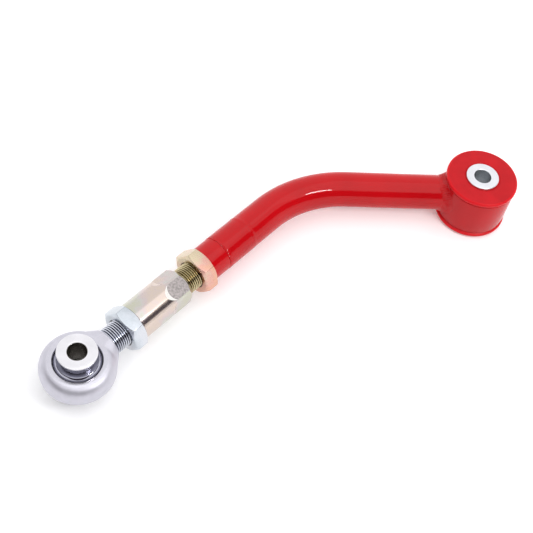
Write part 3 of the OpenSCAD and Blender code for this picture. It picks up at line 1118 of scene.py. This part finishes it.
def make_sleeve(sizes):
    """The eye's steel sleeve, with rounded edges."""
    hole, outer = girth("inner_sleeve", EYE_CENTRE, UP)
    low, high = reach("inner_sleeve", EYE_CENTRE, UP)
    soft = sizes.sleeve_edge
    corners = [(hole, low, soft), (outer, low, soft), (outer, high, soft), (hole, high, soft)]
    piece = lathed("steel_sleeve", corners, None)
    dress(piece, "inner_sleeve", "sleeve_steel", "turned sleeve", "inner_sleeve")


def carry_over():
    """Gives the frame's own nodes that still show their finishes."""
    for node, name in (("tube_insert", "powder coat"), ("race_liner", "moulded liner")):
        carried = frame["nodes"][node]
        carried.data.materials.clear()
        carried.data.materials.append(finish(name))


def make_floor(studio):
    """The pale floor under the arm, lit from below like a light table."""
    half = 6.0
    low = CAD_BOX[0].z - studio.floor_gap
    corners = [(x * half, y * half, low) for x, y in ((-1, -1), (1, -1), (1, 1), (-1, 1))]
    floor = new_piece("floor", corners, [(0, 1, 2, 3)])
    pale = Finish("pale floor", roughness=0.7, specular_ior_level=0.1, emission_color=(1, 1, 1, 1),
                  emission_strength=studio.floor_glow)
    pale.feed(base_color=pale.mix(pale.noise(0.6, 2), (0.94, 0.94, 0.94), (0.96, 0.96, 0.96)))
    floor.data.materials.append(pale.material)


def make_dark_wall(studio):
    """A dark wall on the camera's side, seen only in reflections. It narrows towards its ends."""
    columns = 24
    points = []
    for i in range(columns + 1):
        side = 2 * i / columns - 1
        azimuth = studio.wall_turn + side * studio.wall_reach
        low = studio.wall_low + (studio.wall_end_low - studio.wall_low) * side**2
        for elevation in (low, studio.wall_high):
            arm = Vector((math.sin(azimuth), -math.cos(azimuth), math.tan(elevation)))
            points.append(Vector(studio.aim) + arm * studio.wall_distance)
    faces = [(2 * i, 2 * i + 2, 2 * i + 3, 2 * i + 1) for i in range(columns)]
    wall = new_piece("dark_wall", points, faces)
    dark = Finish("dark wall", base_color=(*studio.wall_colour, 1), roughness=0.9, specular_ior_level=0.0)
    wall.data.materials.append(dark.material)
    wall.visible_camera = False


SOFTBOXES = {
    "overhead": {"direction": (0.1, -0.25, 1.0), "distance": 1.1, "width": 1.6, "height": 1.2},
    "spark": {"direction": (0.53, -0.39, 0.75), "distance": 1.0, "width": 0.3, "height": 0.06},
}


def add_softbox(name, aim, power, direction, distance, width, height):
    """A rectangular lamp that faces the aim from a distance. Its sides are in metres."""
    data = bpy.data.lights.new(name, "AREA")
    data.shape = "RECTANGLE"
    data.size = width
    data.size_y = height
    data.energy = power
    lamp = bpy.data.objects.new(name, data)
    away = Vector(direction).normalized()
    lamp.location = aim + away * distance
    lamp.rotation_mode = "QUATERNION"
    lamp.rotation_quaternion = away.to_track_quat("Z", "Y")
    bpy.context.scene.collection.objects.link(lamp)


def set_camera(studio):
    """The camera, on its orbit around the aim."""
    data = bpy.data.cameras.new("camera")
    data.lens = studio.lens
    data.sensor_width = 36
    camera = bpy.data.objects.new("camera", data)
    bpy.context.scene.collection.objects.link(camera)
    a, e = studio.azimuth, studio.elevation
    forward = Vector((-math.sin(a) * math.cos(e), math.cos(a) * math.cos(e), -math.sin(e)))
    right = forward.cross(UP).normalized()
    across = right * math.cos(studio.roll) + right.cross(forward) * math.sin(studio.roll)
    turn = Matrix((across, (-forward).cross(across), -forward)).transposed().to_4x4()
    camera.matrix_world = Matrix.Translation(Vector(studio.aim) - forward * studio.distance) @ turn
    bpy.context.scene.camera = camera


def make_studio(studio):
    """Pale floor, white surroundings, softboxes, a dark wall and the camera."""
    scene = bpy.context.scene
    scene.view_settings.view_transform = "Standard"
    scene.view_settings.look = "None"
    world = bpy.data.worlds.new("surroundings")
    scene.world = world
    world.use_nodes = True
    background = world.node_tree.nodes["Background"]
    background.inputs["Color"].default_value = (0.99, 0.99, 1.0, 1)
    background.inputs["Strength"].default_value = studio.surroundings
    make_floor(studio)
    make_dark_wall(studio)
    for name, box in SOFTBOXES.items():
        add_softbox(name, Vector(studio.aim), getattr(studio, name), **box)
    set_camera(studio)


# ---------------------------------------------------------------- add-on


class Undoable:
    """What every operator here shares: a step back undoes it."""

    bl_options = {"REGISTER", "UNDO"}


class ARM_OT_studio(Undoable, Operator):
    """Makes the floor, the lights and the camera"""

    bl_idname = "arm.studio"
    bl_label = "Studio"

    def execute(self, context):
        make_studio(context.scene.arm_studio)
        return {"FINISHED"}


class ARM_OT_tube(Undoable, Operator):
    """Makes the bent tube"""

    bl_idname = "arm.tube"
    bl_label = "Bent tube"

    def execute(self, context):
        make_tube(context.scene.arm_sizes)
        return {"FINISHED"}


class ARM_OT_welds(Undoable, Operator):
    """Makes the insert's ground seam and the eye's weld bead"""

    bl_idname = "arm.welds"
    bl_label = "Welds"

    def execute(self, context):
        make_seam(context.scene.arm_sizes)
        make_bead(context.scene.arm_sizes)
        return {"FINISHED"}


class ARM_OT_shell(Undoable, Operator):
    """Makes the eye's coated shell"""

    bl_idname = "arm.shell"
    bl_label = "Eye's shell"

    def execute(self, context):
        make_eye(context.scene.arm_sizes)
        return {"FINISHED"}


class ARM_OT_bushings(Undoable, Operator):
    """Makes both flanged bushing halves"""

    bl_idname = "arm.bushings"
    bl_label = "Bushings"

    def execute(self, context):
        make_bushings(context.scene.arm_sizes)
        return {"FINISHED"}


class ARM_OT_sleeve(Undoable, Operator):
    """Makes the eye's steel sleeve"""

    bl_idname = "arm.sleeve"
    bl_label = "Sleeve"

    def execute(self, context):
        make_sleeve(context.scene.arm_sizes)
        return {"FINISHED"}


class ARM_OT_nuts(Undoable, Operator):
    """Makes both jam nuts"""

    bl_idname = "arm.nuts"
    bl_label = "Jam nuts"

    def execute(self, context):
        make_nuts(context.scene.end_sizes)
        return {"FINISHED"}


class ARM_OT_adjuster(Undoable, Operator):
    """Makes the adjuster's body and its stud"""

    bl_idname = "arm.adjuster"
    bl_label = "Adjuster"

    def execute(self, context):
        make_adjuster(context.scene.end_sizes)
        return {"FINISHED"}


class ARM_OT_rod_end(Undoable, Operator):
    """Makes the rod end's head and shank"""

    bl_idname = "arm.rod_end"
    bl_label = "Rod end"

    def execute(self, context):
        make_rod_end(context.scene.end_sizes)
        return {"FINISHED"}


class ARM_OT_ball(Undoable, Operator):
    """Makes the polished ball"""

    bl_idname = "arm.ball"
    bl_label = "Ball"

    def execute(self, context):
        make_ball(context.scene.end_sizes)
        return {"FINISHED"}


class ARM_OT_spacers(Undoable, Operator):
    """Makes both conical spacers"""

    bl_idname = "arm.spacers"
    bl_label = "Spacers"

    def execute(self, context):
        make_spacers(context.scene.end_sizes)
        return {"FINISHED"}


class ARM_OT_carried(Undoable, Operator):
    """Gives the insert and the liner their finishes"""

    bl_idname = "arm.carried"
    bl_label = "Insert and liner"

    def execute(self, context):
        carry_over()
        return {"FINISHED"}


OPERATORS = (ARM_OT_studio, ARM_OT_tube, ARM_OT_welds, ARM_OT_shell, ARM_OT_bushings, ARM_OT_sleeve,
             ARM_OT_nuts, ARM_OT_adjuster, ARM_OT_rod_end, ARM_OT_ball, ARM_OT_spacers, ARM_OT_carried)
GROUPS = {"arm_sizes": ArmSizes, "end_sizes": EndSizes, "arm_looks": Looks, "arm_studio": Studio}


class ARM_PT_panel(Panel):
    """Lists the pieces of the control arm"""

    bl_idname = "ARM_PT_panel"
    bl_label = "Control Arm"
    bl_space_type = "VIEW_3D"
    bl_region_type = "UI"
    bl_category = "Control Arm"

    def draw(self, context):
        for operator in OPERATORS:
            self.layout.operator(operator.bl_idname)
        for name, group in GROUPS.items():
            box = self.layout.box()
            box.label(text=group.__doc__)
            for key in group.__annotations__:
                box.prop(getattr(context.scene, name), key)


def register():
    """Adds the settings, the operators and the panel."""
    for group in GROUPS.values():
        bpy.utils.register_class(group)
    for name, group in GROUPS.items():
        setattr(bpy.types.Scene, name, PointerProperty(type=group))
    for operator in OPERATORS:
        bpy.utils.register_class(operator)
    bpy.utils.register_class(ARM_PT_panel)


def unregister():
    """Takes the panel, the operators and the settings out again."""
    bpy.utils.unregister_class(ARM_PT_panel)
    for operator in reversed(OPERATORS):
        bpy.utils.unregister_class(operator)
    for name in GROUPS:
        delattr(bpy.types.Scene, name)
    for group in reversed(GROUPS.values()):
        bpy.utils.unregister_class(group)


def main():
    """Builds the whole model."""
    register()
    for operator in OPERATORS:
        family, action = operator.bl_idname.split(".")
        getattr(getattr(bpy.ops, family), action)()


if __name__ == "__main__":
    main()
